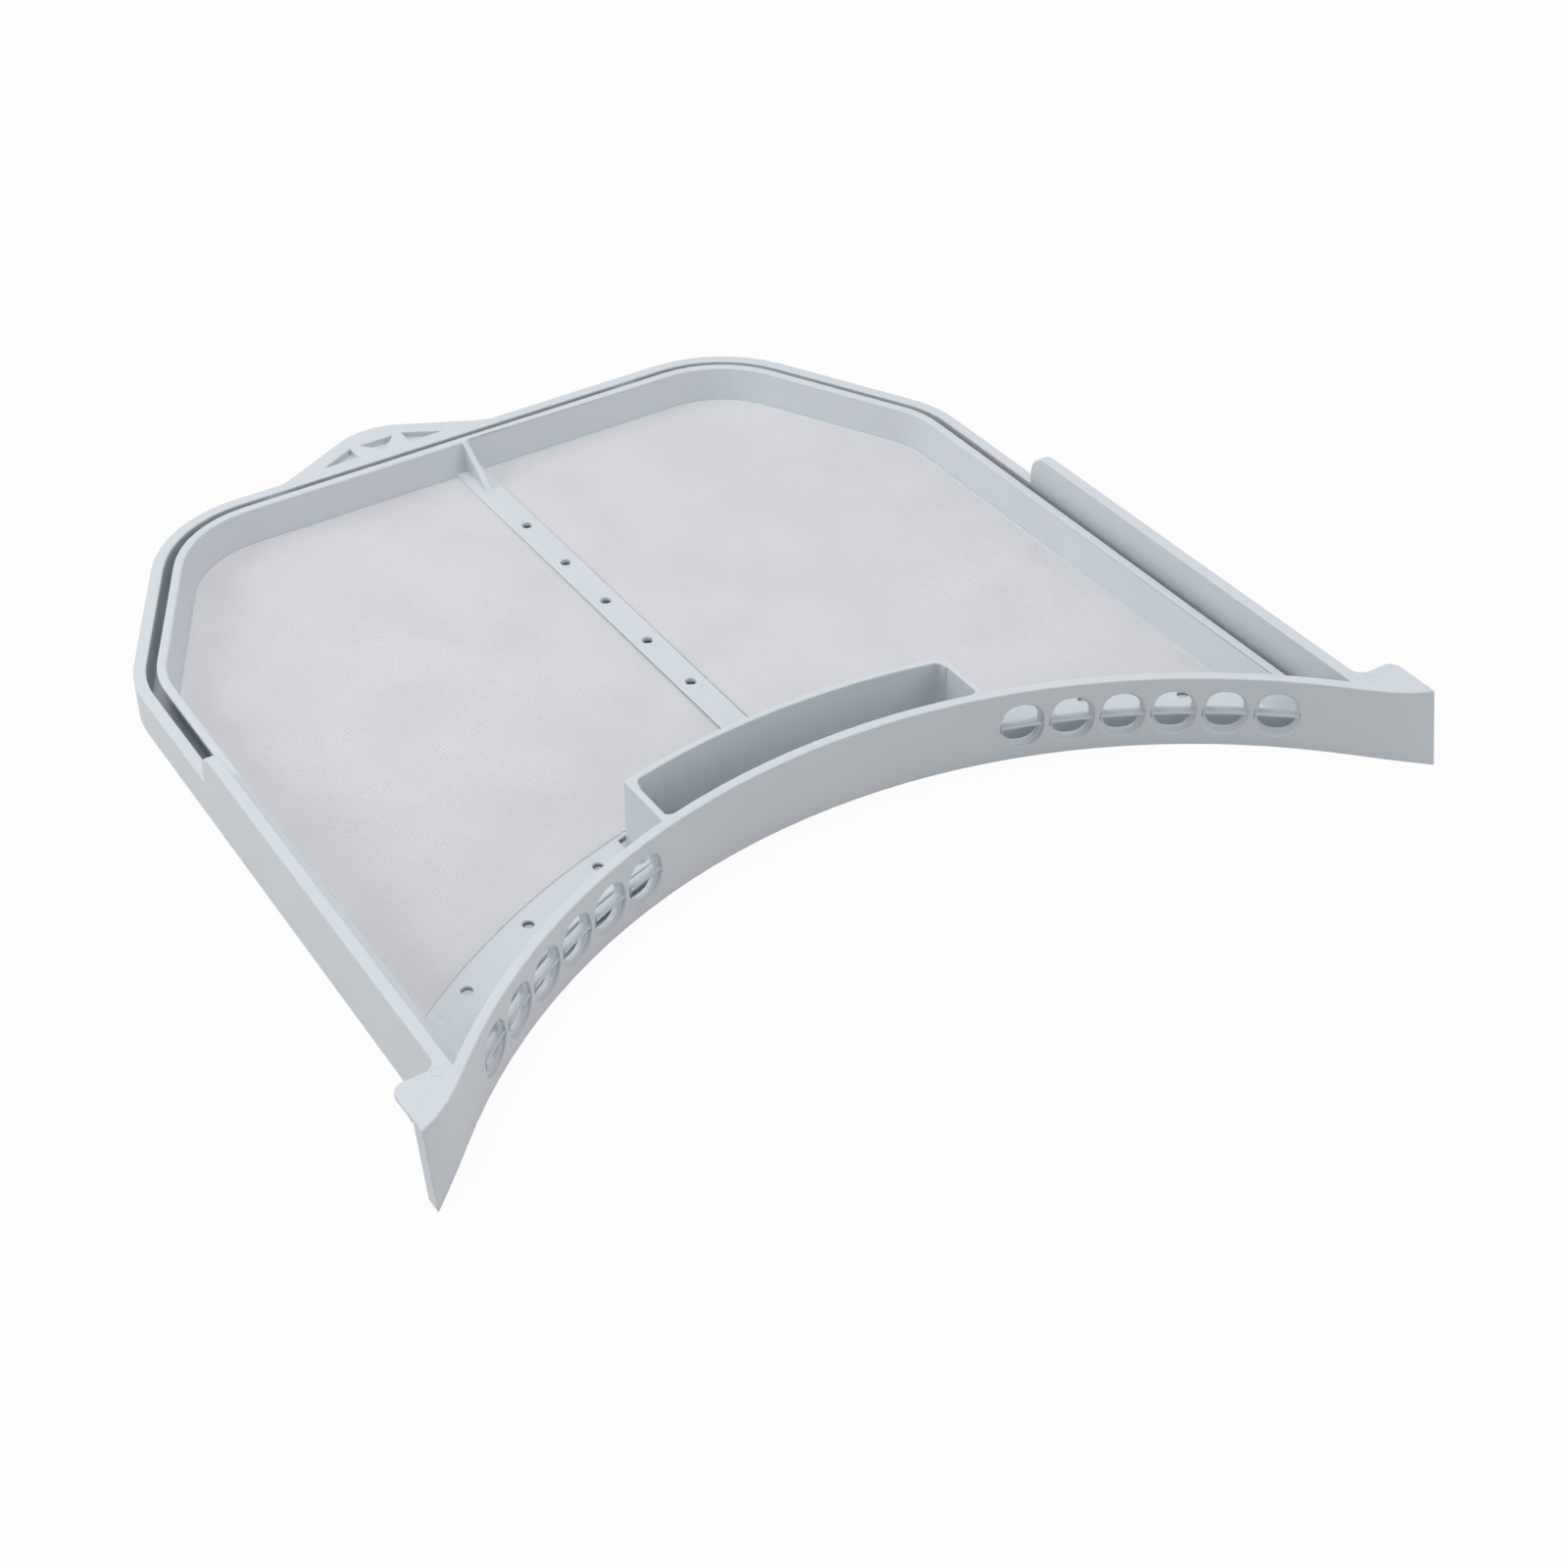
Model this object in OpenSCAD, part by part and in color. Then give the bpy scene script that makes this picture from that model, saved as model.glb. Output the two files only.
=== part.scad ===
// Tumble dryer lint filter: a slotted, curved front wall with a finger pocket carries a shallow
// frame, and a tray with its own mesh hinges up out of that frame for cleaning.
// Seen from above, the curved wall is at the front (-Y), the narrow end at the back (+Y).
// The bottom of the frame is at z = 0 and the origin is at the middle of the overall box.

/* [Overall] */
// Width across the front corners
filter_w = 340; // [325:1:360]
// Depth from the front corners to the straight back edge
body_d = 318; // [300:1:340]
// Height of the curved wall, the rails and the corner tabs
wall_h = 25.2; // [23:0.2:29]
// Radius of the curved wall's front face, that of the door opening
opening_r = 212; // [205:1:225]

/* [Outline] */
// Width over the frame's sides, on the line through the front corners
side_w = 313.6; // [306:0.2:320]
// Width where the sides turn in
shoulder_w = 304.4; // [296:0.2:308]
// Depth where the sides turn in
shoulder_d = 239.6; // [225:0.2:250]
// Width of the straight back edge, sharp corner to sharp corner
back_w = 218.2; // [206:0.2:228]
// Corner radius where the sides turn in
shoulder_r = 40; // [34:0.5:44]
// Corner radius at the back
back_r = 46; // [40:0.5:50]

/* [Frame] */
// Height of the frame's rim
rim_h = 13.6; // [13:0.1:14.5]
// Thickness of the frame's side and back walls
frame_t = 4; // [3.4:0.1:4.6]
// Thickness of the frame's floor ring and rib
floor_t = 1.2; // [1:0.05:1.5]
// Width of the floor ring inside the walls
ring_w = 9; // [7:0.5:12]
// Width of the frame's lower rib
lower_rib_w = 14; // [10:0.5:18]

/* [Front wall] */
// Thickness of the curved wall
wall_t = 3.4; // [2.8:0.1:4]
// Length over which each end of the curved wall flattens out
end_flat_w = 17; // [14:0.5:18]
// Setback of the flattened ends at the top
end_setback = 8.4; // [7:0.1:9.5]
// Setback of the flattened ends at the bottom
end_toe_setback = 3.4; // [2.5:0.1:4.5]
// Width of a slot
slot_w = 13.4; // [11:0.1:14]
// Height of a slot
slot_h = 15.6; // [13:0.1:16.6]
// Corner radius of a slot
slot_r = 6; // [5:0.1:6.4]
// Width of the lip inside a slot
slot_lip = 1; // [0.6:0.1:1.4]
// Depth of a slot in front of its lip
slot_recess = 1.2; // [0.8:0.1:1.8]
// Height of the slots' lower edge
slot_z = 4.4; // [3.4:0.1:5]
// Width of wall between two slots
slot_gap = 2.3; // [1.8:0.1:2.6]
// Slots on each side of the pocket
slot_count = 6; // [4:1:6]
// Angle from the middle to the first slot's centre
slot_start = 18.2; // [17.6:0.1:18.4]
// Thickness of the bar across the slots
bar_t = 1.3; // [1:0.1:1.8]
// Height of the bar's lower edge
bar_z = 11.2; // [10:0.1:12]

/* [Guide rails and tabs] */
// Depth at which the side rails end
rail_d = 182; // [165:1:200]
// Radius of the rails' rounded far end
rail_end_r = 7; // [4:0.5:10]
// Thickness of the corner tabs
tab_t = 1.8; // [1.4:0.1:2.4]
// Depth of the corner tabs' back edge
tab_d = 27; // [25:0.5:29]
// Corner radius of the tabs
tab_r = 4; // [3:0.5:5]

/* [Finger pocket] */
// Inner width of the pocket at its back
pocket_w = 108.4; // [96:0.2:110]
// Inner depth of the pocket, from the wall's back
pocket_d = 18.5; // [16:0.5:21]
// Thickness of the pocket's walls
pocket_t = 2.4; // [2:0.1:2.8]
// Thickness of the pocket's floor
pocket_floor_t = 1.8; // [1.4:0.1:3]
// Corner radius inside the pocket
pocket_r = 3; // [2:0.5:4]

/* [Back tab] */
// How far the tab at the back stands out
key_d = 16.5; // [14:0.5:18]
// Off-centre place of the tab's middle
key_x = -25; // [-32:1:-18]
// Width of the tab at its root
key_root_w = 79; // [72:1:86]
// Width of the tab at its tip, before rounding
key_tip_w = 12; // [12:1:20]
// Radius of the tab's tip and shoulders
key_r = 22; // [14:1:22]
// Thickness of the tab
key_t = 8; // [6:0.5:10]
// Width of a triangular recess in the tab
recess_w = 12.5; // [10:0.5:14]
// Height of a triangular recess, away from the wall
recess_h = 6.5; // [5:0.5:8]
// Depth of the recesses
recess_t = 2.4; // [1.5:0.1:3]
// Width of the webs between the recesses
web_w = 3.6; // [2.8:0.1:4.4]

/* [Tray] */
// Gap between the tray's rim and the frame
tray_gap = 3.3; // [2.8:0.1:3.8]
// Gap between the tray's front edge and the curved wall
front_gap = 3.6; // [3:0.1:4.4]
// Height of the tray's rim above the bottom of the frame
tray_top = 14.5; // [14:0.1:16]
// Gap between the frame's floor and the tray's floor
floor_gap = 0.6; // [0.5:0.05:0.9]
// Thickness of the tray's floor
tray_floor_t = 1.2; // [1:0.05:1.5]
// Thickness of the tray's walls
tray_wall_t = 1.8; // [1.4:0.1:2]
// Width of the tray's rim
tray_rim_w = 3; // [2.9:0.1:3.6]
// Thickness of the tray's rim
tray_rim_t = 1.6; // [1.2:0.1:2]
// Inward lean of the tray's walls, from rim to floor
tray_lean = 2.6; // [1.5:0.1:3.2]
// Height of the low lip along the tray's front edge, above its floor
lip_h = 5.5; // [4:0.5:7]
// Distance from the curved wall's front face to the mesh
strip_w = 27.5; // [26:0.5:30]
// Width of the tray's rib between the meshes
rib_w = 10; // [8:0.5:13]
// How far the rib stands above the mesh
rib_rise = 0.7; // [0.4:0.1:1.2]
// Diameter of the holes in the rib and the strip
hole_d = 3.4; // [2.6:0.1:4]
// Distance between the holes in the rib
hole_pitch = 26.5; // [24:0.5:28]
// Length of the gusset on the rib
gusset_l = 19; // [14:0.5:24]
// Thickness of the gusset
gusset_t = 2.2; // [1.6:0.1:3]

/* [Mesh] */
// Thickness of the mesh panels
mesh_t = 0.3; // [0.2:0.05:0.45]
// Width of the ledge that carries a mesh panel's edge
ledge_w = 2; // [1.4:0.1:2.4]
// Play round a mesh panel in its recess
mesh_play = 0.1; // [0.05:0.05:0.2]

/* [Hinge] */
// Diameter of the tray's two hinge pins
pin_d = 2; // [1.8:0.1:2.2]
// Running clearance round a pin
pin_play = 0.05; // [0.03:0.01:0.08]
// Distance from the middle to each of the frame's hinge ears
hinge_x = 70; // [60:1:73]
// Distance from the frame's back wall to the hinge axis
hinge_back = 3; // [2.8:0.1:3.2]
// Distance from the tray's rim down to the hinge axis
hinge_drop = 4; // [3.9:0.1:4.4]
// Thickness of an ear
ear_t = 2.4; // [2:0.1:3]
// Radius of an ear round its bore
ear_r = 1.9; // [1.8:0.05:1.95]
// Length of the boss on the tray that carries a pin
boss_w = 5; // [4:0.5:7]
// Radius of the boss
boss_r = 2; // [1.9:0.05:2.2]

/* [Hidden] */
$fn = 96;

frame_colour = [0.80, 0.82, 0.84];
mesh_colour = [0.90, 0.90, 0.93];

overrun = 1;               // how far a cut runs past what it cuts
corner_steps = 8;          // straight pieces in a rounded corner of an outline
half_w = filter_w / 2;
arc_y = -sqrt(opening_r * opening_r - half_w * half_w);   // centre of the curved wall
total_d = body_d + key_d;

pocket_back_r = opening_r + wall_t + pocket_d;             // inside of the pocket's back wall
tray_front_r = opening_r + wall_t + front_gap;
tray_inset = frame_t + tray_gap;
tray_z = floor_t + floor_gap;
tray_floor_z = tray_z + tray_floor_t;
foot_inset = tray_inset + tray_rim_w + tray_lean;          // the tray walls' inner foot
pocket_play = front_gap / 2;                               // between the pocket and the tray
pocket_band_w = 8;                                         // the tray's floor behind the pocket
pocket_band_share = 0.85;                                  // its width, of the pocket's
lip_t = tray_wall_t;

hinge_y = body_d - frame_t - hinge_back;
hinge_z = tray_top - hinge_drop;
boss_play = 0.4;                                           // between a boss and its ear
pin_end = 0.8;                                             // how far a pin stands out of its ear

strip_hole_back = 5.5;                                     // from the mesh to the strip's holes
strip_hole_start = 17.2;                                   // degrees
strip_hole_step = 7.7;                                     // degrees
strip_hole_count = 3;
rib_hole_count = 5;
rib_hole_back = 43;                                        // from the gusset's wall to the first hole

function unit(v) = v / norm(v);
function turned(v) = [-v[1], v[0]];

// Moves each side of a counterclockwise outline inwards by d
function inset(pts, d) = [
    for (i = [0 : len(pts) - 1])
        let (n = len(pts),
             a = turned(unit(pts[i] - pts[(i + n - 1) % n])),
             b = turned(unit(pts[(i + 1) % n] - pts[i])))
        pts[i] + d * (a + b) / (1 + a * b)
];

// Rounds each corner of an outline with its own radius
function rounded(pts, radii) = [
    for (i = [0 : len(pts) - 1])
        let (n = len(pts),
             u = unit(pts[(i + n - 1) % n] - pts[i]),
             v = unit(pts[(i + 1) % n] - pts[i]),
             half = acos(u * v) / 2,
             c = pts[i] + unit(u + v) * radii[i] / sin(half),
             s = pts[i] + u * radii[i] / tan(half),
             e = pts[i] + v * radii[i] / tan(half),
             a0 = atan2(s[1] - c[1], s[0] - c[0]),
             a1 = atan2(e[1] - c[1], e[0] - c[0]),
             sweep = ((a1 - a0 + 540) % 360) - 180)
        each [for (k = [0 : corner_steps]) c + radii[i] * [cos(a0 + sweep * k / corner_steps),
                                                           sin(a0 + sweep * k / corner_steps)]]
];

// The body's outline without the curve at its front, counterclockwise
body_corners = [
    [side_w / 2, 0], [shoulder_w / 2, shoulder_d], [back_w / 2, body_d],
    [-back_w / 2, body_d], [-shoulder_w / 2, shoulder_d], [-side_w / 2, 0]
];
front_corner_r = 0.5;

function body_outline(d) = rounded(inset(body_corners, d),
    [front_corner_r, shoulder_r - d, back_r - d, back_r - d, shoulder_r - d, front_corner_r]);

// Where the long sides lie at depth y, moved inwards by d
side_lean = atan((side_w - shoulder_w) / 2 / shoulder_d);
function side_x(y, d = 0) = side_w / 2 - y * tan(side_lean) - d / cos(side_lean);

// A cylinder round the curved wall's axis
module round_axis(r, h, z = 0) {
    translate([0, arc_y, z]) cylinder(r = r, h = h, $fn = 360);
}

// A solid between two outlines that have as many points, the first below
module skin(low, z0, high, z1) {
    n = len(low);
    pts = concat([for (p = low) [p[0], p[1], z0]], [for (p = high) [p[0], p[1], z1]]);
    sides = [for (i = [0 : n - 1]) each [[i, i + n, (i + 1) % n], [(i + 1) % n, i + n, (i + 1) % n + n]]];
    polyhedron(pts, concat([[for (i = [0 : n - 1]) i]], [[for (i = [0 : n - 1]) 2 * n - 1 - i]], sides));
}

// A block with round corners, centred on its axis
module round_block(w, h, r, d) {
    translate([r - w / 2, -h / 2, 0]) cube([w - 2 * r, h, d]);
    translate([-w / 2, r - h / 2, 0]) cube([w, h - 2 * r, d]);
    for (x = [-1, 1], y = [-1, 1])
        translate([x * (w / 2 - r), y * (h / 2 - r), 0]) cylinder(r = r, h = d, $fn = 40);
}

// Puts its children on the curved wall's front face, at an angle from the middle
module on_wall(angle, z) {
    translate([0, arc_y, z]) rotate([0, 0, -angle]) translate([0, opening_r, 0]) children();
}

slot_step = (slot_w + slot_gap) / opening_r * 180 / PI;

module slots() {
    for (side = [-1, 1], i = [0 : slot_count - 1])
        on_wall(side * (slot_start + i * slot_step), slot_z + slot_h / 2)
            rotate([-90, 0, 0]) translate([0, 0, -overrun]) {
                round_block(slot_w, slot_h, slot_r, slot_recess + overrun);
                round_block(slot_w - 2 * slot_lip, slot_h - 2 * slot_lip, slot_r - slot_lip, wall_t + 2 * overrun);
            }
}

// The bar that crosses a row of slots
bar_setback = 0.3;
module slot_bar(side) {
    span = slot_count * slot_step;
    middle = slot_start + (slot_count - 1) * slot_step / 2;
    translate([0, arc_y, bar_z]) rotate([0, 0, 90 - side * middle - span / 2])
        rotate_extrude(angle = span, $fn = 360)
            translate([opening_r + bar_setback, 0]) square([wall_t - bar_setback, bar_t]);
}

arc_end_x = half_w - end_flat_w;
arc_end_y = arc_y + sqrt(opening_r * opening_r - arc_end_x * arc_end_x);

module curved_wall() {
    difference() {
        round_axis(opening_r + wall_t, wall_h);
        round_axis(opening_r, wall_h + 2 * overrun, -overrun);
        translate([-opening_r - filter_w, arc_y - opening_r - filter_w, -overrun])
            cube([2 * (opening_r + filter_w), opening_r + filter_w - arc_y + arc_end_y, wall_h + 2 * overrun]);
        slots();
    }
    for (side = [-1, 1])
        slot_bar(side);
}

// An end of the curved wall: it leaves the arc smoothly, and further at the top than at the bottom
end_steps = 3;
end_slab = 0.2;
end_bed = 0.06;               // how far its root lies inside the curved wall's faces
end_lap = 0.24;               // and how far it reaches into the wall's end
function on_arc(r, x) = [x, arc_y + sqrt(r * r - x * x)];
function end_line(r, x0, bedded, setback) = [
    on_arc(bedded, x0 - end_lap),
    for (i = [1 : end_steps])
        let (t = i / end_steps) on_arc(r, x0 + t * (half_w - x0)) + [0, setback * t * t]];

module wall_end() {
    back_r = opening_r + wall_t;
    back_x = sqrt(pow(back_r, 2) - pow(arc_end_y - arc_y, 2));
    lines = [for (setback = [end_toe_setback, end_setback])
        [end_line(opening_r, arc_end_x, opening_r + end_bed, setback),
         end_line(back_r, back_x, back_r - end_bed, setback)]];
    for (i = [0 : end_steps - 1]) hull() for (level = [0, 1])
        translate([0, 0, level * (wall_h - end_slab)]) linear_extrude(end_slab)
            polygon([lines[level][0][i], lines[level][0][i + 1], lines[level][1][i + 1], lines[level][1][i]]);
}

// The thin plate that carries a corner out past the frame's side, level with the wall's top
module corner_tab() {
    inner_x = side_x(tab_d, frame_t / 2);
    root_y = tab_d + 2 * tab_r;
    corners = [[half_w, end_setback + wall_t / 2], [half_w, tab_d], [side_x(tab_d), tab_d],
               [side_x(root_y), root_y], [inner_x, root_y],
               [inner_x, arc_end_y + wall_t], [arc_end_x, arc_end_y + wall_t / 2]];
    difference() {
        translate([0, 0, wall_h - tab_t]) linear_extrude(tab_t)
            polygon(rounded(corners, [end_slab, tab_r, tab_r, end_slab, end_slab, end_slab, end_slab]));
        in_front(opening_r + wall_t / 2, wall_h);
    }
}

// A guide rail: the frame's side raised to the wall's height, with a rounded far end
module guide_rail() {
    y0 = arc_end_y;
    intersection() {
        linear_extrude(wall_h) polygon([
            [side_x(y0), y0], [side_x(rail_d), rail_d],
            [side_x(rail_d, frame_t), rail_d], [side_x(y0, frame_t), y0]]);
        union() {
            cube([filter_w, rail_d - rail_end_r, wall_h]);
            cube([filter_w, rail_d, wall_h - rail_end_r]);
            translate([0, rail_d - rail_end_r, wall_h - rail_end_r]) rotate([0, 90, 0])
                cylinder(r = rail_end_r, h = filter_w);
        }
    }
}

// All that lies inside radius r of the curved wall's axis, as a cut for what stands behind it
module in_front(r, h) {
    round_axis(r, h + 2 * overrun, -overrun);
}

module frame_walls() {
    difference() {
        linear_extrude(rim_h) difference() {
            polygon(body_outline(0));
            polygon(body_outline(frame_t));
        }
        in_front(opening_r + wall_t / 2, rim_h);
    }
    for (side = [0, 1]) mirror([side, 0, 0]) difference() {
        guide_rail();
        in_front(opening_r + wall_t / 2, wall_h);
    }
}

pocket_out_w = pocket_w + 2 * pocket_t;

// The pocket's inside, between its back wall and the curved wall, as a block from z up
module pocket_block(grow, z, h) {
    intersection() {
        translate([-pocket_w / 2 - grow, 0, z]) cube([pocket_w + 2 * grow, body_d, h]);
        difference() {
            round_axis(pocket_back_r + grow, h, z);
            round_axis(opening_r + wall_t - grow, h + 2 * overrun, z - overrun);
        }
    }
}

module pocket() {
    difference() {
        pocket_block(pocket_t, 0, wall_h);
        pocket_block(0, pocket_floor_t, wall_h);
    }
    for (side = [-1, 1])
        intersection() {
            pocket_block(fillet_bed, 0, wall_h);
            union() {
                pocket_fillet(side, opening_r + wall_t, 1);
                pocket_fillet(side, pocket_back_r, -1);
            }
        }
}

// Rounds an inner corner of the pocket, where its side meets a curve of radius r
fillet_bed = 0.1;              // how far it lies in the walls on either side
module pocket_fillet(side, r, inwards) {
    translate([side * pocket_w / 2, arc_y + sqrt(r * r - pow(pocket_w / 2, 2)), 0])
        rotate([0, 0, -side * asin(pocket_w / 2 / r)]) difference() {
            translate([-pocket_r, -pocket_r, 0]) cube([2 * pocket_r, 2 * pocket_r, wall_h]);
            translate([-side * (pocket_r - fillet_bed / 2), inwards * (pocket_r - fillet_bed / 2), -overrun])
                cylinder(r = pocket_r, h = wall_h + 2 * overrun);
        }
}

// A mesh panel of the frame's floor, and with a ledge its window, as a block from z up
module lower_panel(shrink, z, h) {
    difference() {
        intersection() {
            translate([0, 0, z]) linear_extrude(h) polygon(body_outline(frame_t + ring_w + shrink));
            translate([lower_rib_w / 2 + shrink, 0, z]) cube([filter_w, body_d, h]);
        }
        round_axis(opening_r + wall_t + ring_w + shrink, h + 2 * overrun, z - overrun);
        pocket_block(pocket_t + ring_w / 2 + shrink, z - overrun, h + 2 * overrun);
    }
}

module frame_floor() {
    difference() {
        linear_extrude(floor_t) polygon(body_outline(frame_t / 2));
        in_front(opening_r + wall_t / 2, floor_t);
        for (side = [0, 1]) mirror([side, 0, 0]) {
            lower_panel(ledge_w, -overrun, floor_t + 2 * overrun);
            lower_panel(0, floor_t - mesh_t, floor_t);
        }
    }
}

// The off-centre tab at the back, with a truss of triangular recesses
key_bed = 0.4;                 // how far the shoulders start inside the back wall
bed_r = 0.1;
module back_tab() {
    root = key_root_w / 2;
    foot = root + key_r / 2;
    tip = key_tip_w / 2;
    half_outline = [[foot, -frame_t / 2], [foot, -key_bed], [root, -key_bed], [tip, key_d]];
    outline = concat(half_outline, [for (i = [3 : -1 : 0]) [-half_outline[i][0], half_outline[i][1]]]);
    side = recess_w / 2 + web_w;
    translate([key_x, body_d, rim_h - key_t]) difference() {
        linear_extrude(key_t)
            polygon(rounded(outline, [bed_r, bed_r, key_r, key_r, key_r, key_r, bed_r, bed_r]));
        translate([0, web_w / 2, key_t - recess_t]) linear_extrude(recess_t + overrun) {
            polygon([[-side - recess_w, 0], [-side, 0], [-side, recess_h]]);
            polygon([[0, 0], [recess_w / 2, recess_h], [-recess_w / 2, recess_h]]);
            polygon([[side, 0], [side + recess_w, 0], [side, recess_h]]);
        }
    }
}

// A cylinder on the hinge axis, from x on
module on_hinge(x, r, length) {
    translate([x, hinge_y, hinge_z]) rotate([0, 90, 0]) cylinder(r = r, h = length);
}

// An ear that stands on the floor ring against the back wall, lower than the line of the rims
ear_bed = 0.3;                 // how far it reaches into the wall and the round about the bore
module hinge_ear() {
    start = hinge_x - ear_t / 2;
    wall_y = body_d - frame_t + ear_bed;
    difference() {
        union() {
            translate([start, 0, 0]) rotate([90, 0, 90]) linear_extrude(ear_t) polygon([
                [hinge_y - ear_r + ear_bed, floor_t / 2], [wall_y, floor_t / 2], [wall_y, hinge_z + ear_bed],
                [hinge_y + ear_bed, hinge_z + ear_r - ear_bed], [hinge_y - ear_r + ear_bed, hinge_z]]);
            on_hinge(start, ear_r, ear_t);
        }
        on_hinge(start - overrun, pin_d / 2 + pin_play, ear_t + 2 * overrun);
    }
}

module outer_frame() {
    color(frame_colour) {
        curved_wall();
        frame_walls();
        frame_floor();
        pocket();
        back_tab();
        for (side = [0, 1]) mirror([side, 0, 0]) {
            wall_end();
            corner_tab();
            hinge_ear();
        }
    }
}

module outer_mesh(side) {
    color(mesh_colour) mirror([side, 0, 0]) lower_panel(mesh_play, floor_t - mesh_t, mesh_t);
}

// A mesh panel of the tray, and with a ledge its window, as a block from z up
module upper_panel(shrink, z, h) {
    difference() {
        intersection() {
            translate([0, 0, z]) linear_extrude(h) polygon(body_outline(foot_inset + shrink));
            translate([rib_w / 2 + shrink, 0, z]) cube([filter_w, body_d, h]);
        }
        round_axis(opening_r + strip_w + shrink, h + 2 * overrun, z - overrun);
        intersection() {
            round_axis(opening_r + strip_w + pocket_band_w + shrink, h + 2 * overrun, z - overrun);
            translate([0, 0, z - overrun])
                cube([pocket_out_w * pocket_band_share / 2 + shrink, body_d, h + 2 * overrun]);
        }
    }
}

// The notch that lets the tray pass the finger pocket
module pocket_notch() {
    pocket_block(pocket_t + pocket_play, -overrun, wall_h + 2 * overrun);
}

module tray_shell() {
    difference() {
        union() {
            skin(body_outline(tray_inset + tray_rim_w - tray_wall_t + tray_lean), tray_z,
                 body_outline(tray_inset + tray_rim_w - tray_wall_t), tray_top);
            translate([0, 0, tray_top - tray_rim_t]) linear_extrude(tray_rim_t) polygon(body_outline(tray_inset));
        }
        skin(body_outline(foot_inset), tray_floor_z,
             body_outline(tray_inset + tray_rim_w), tray_top + end_slab);
        in_front(tray_front_r, wall_h);
        pocket_notch();
        for (side = [0, 1]) mirror([side, 0, 0]) {
            upper_panel(ledge_w, tray_z - overrun, tray_floor_t + 2 * overrun);
            upper_panel(0, tray_floor_z - mesh_t, mesh_t + overrun);
        }
    }
}

// The low lip that stands along the tray's front edge
module front_lip() {
    h = tray_floor_t + lip_h;
    difference() {
        intersection() {
            translate([0, 0, tray_z]) linear_extrude(h) polygon(body_outline(foot_inset - tray_wall_t));
            round_axis(tray_front_r + lip_t, h, tray_z);
        }
        in_front(tray_front_r, wall_h);
        pocket_notch();
    }
}

rib_front_r = opening_r + strip_w + pocket_band_w / 2;
foot_back_y = body_d - foot_inset;
module tray_rib() {
    translate([-rib_w / 2, arc_y + rib_front_r, tray_z])
        cube([rib_w, foot_back_y - arc_y - rib_front_r + tray_wall_t / 2, tray_floor_t + rib_rise]);
    translate([gusset_t / 2, 0, 0]) rotate([0, -90, 0]) linear_extrude(gusset_t) polygon([
        [tray_floor_z, foot_back_y - gusset_l + tray_lean],
        [tray_top, foot_back_y + tray_lean],
        [tray_floor_z, foot_back_y + tray_wall_t]]);
}

module tray_holes() {
    for (i = [0 : rib_hole_count - 1])
        translate([0, foot_back_y - rib_hole_back - i * hole_pitch + tray_lean, tray_z - overrun])
            cylinder(d = hole_d, h = tray_floor_t + rib_rise + 2 * overrun, $fn = 32);
    for (side = [-1, 1], i = [0 : strip_hole_count - 1])
        on_wall(side * (strip_hole_start + i * strip_hole_step), tray_z - overrun)
            translate([0, strip_w - strip_hole_back, 0]) cylinder(d = hole_d, h = tray_floor_t + 2 * overrun, $fn = 32);
}

// A boss behind the tray's back wall, and the pin that it carries
module hinge_pin() {
    end = hinge_x - ear_t / 2 - boss_play;
    root_y = body_d - tray_inset - tray_rim_w;
    half_h = boss_r - ear_bed;
    on_hinge(end - boss_w, boss_r, boss_w);
    translate([end - boss_w, root_y, hinge_z - half_h]) cube([boss_w, hinge_y - root_y, 2 * half_h]);
    on_hinge(end - boss_w / 2, pin_d / 2, boss_w / 2 + boss_play + ear_t + pin_end);
}

module inner_frame() {
    color(frame_colour) {
        difference() {
            union() {
                tray_shell();
                front_lip();
                tray_rib();
            }
            tray_holes();
        }
        for (side = [0, 1]) mirror([side, 0, 0]) hinge_pin();
    }
}

module inner_mesh(side) {
    color(mesh_colour) mirror([side, 0, 0]) upper_panel(mesh_play, tray_floor_z - mesh_t, mesh_t);
}

module place() {
    translate([0, -total_d / 2, 0]) children();
}

place() outer_frame();
place() inner_frame();
place() outer_mesh(1);  // outer_mesh_left
place() outer_mesh(0);  // outer_mesh_right
place() inner_mesh(1);  // inner_mesh_left
place() inner_mesh(0);  // inner_mesh_right
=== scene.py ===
import math

import bmesh
import bpy
import numpy as np
from mathutils import Matrix, Vector


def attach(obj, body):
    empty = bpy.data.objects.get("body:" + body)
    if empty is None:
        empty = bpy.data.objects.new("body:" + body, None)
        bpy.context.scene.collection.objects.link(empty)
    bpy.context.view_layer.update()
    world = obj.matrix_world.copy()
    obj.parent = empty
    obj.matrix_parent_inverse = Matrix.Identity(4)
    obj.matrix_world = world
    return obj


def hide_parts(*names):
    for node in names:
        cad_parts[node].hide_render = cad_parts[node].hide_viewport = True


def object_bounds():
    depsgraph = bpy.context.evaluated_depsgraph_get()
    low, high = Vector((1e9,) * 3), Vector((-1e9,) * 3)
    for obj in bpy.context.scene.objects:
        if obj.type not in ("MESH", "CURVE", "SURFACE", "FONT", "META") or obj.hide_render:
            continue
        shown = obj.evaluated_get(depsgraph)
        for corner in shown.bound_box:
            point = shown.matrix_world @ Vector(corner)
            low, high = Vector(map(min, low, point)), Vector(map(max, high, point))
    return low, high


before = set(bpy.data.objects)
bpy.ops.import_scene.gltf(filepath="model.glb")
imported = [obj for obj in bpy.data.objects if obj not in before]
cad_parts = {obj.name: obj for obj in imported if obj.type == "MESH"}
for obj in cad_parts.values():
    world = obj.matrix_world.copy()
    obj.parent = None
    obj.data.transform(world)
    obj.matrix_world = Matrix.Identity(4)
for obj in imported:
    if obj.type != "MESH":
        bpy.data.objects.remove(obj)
cadLow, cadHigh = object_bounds()
print("lint filter: packed frame loaded, pieces:", len(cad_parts))

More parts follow.
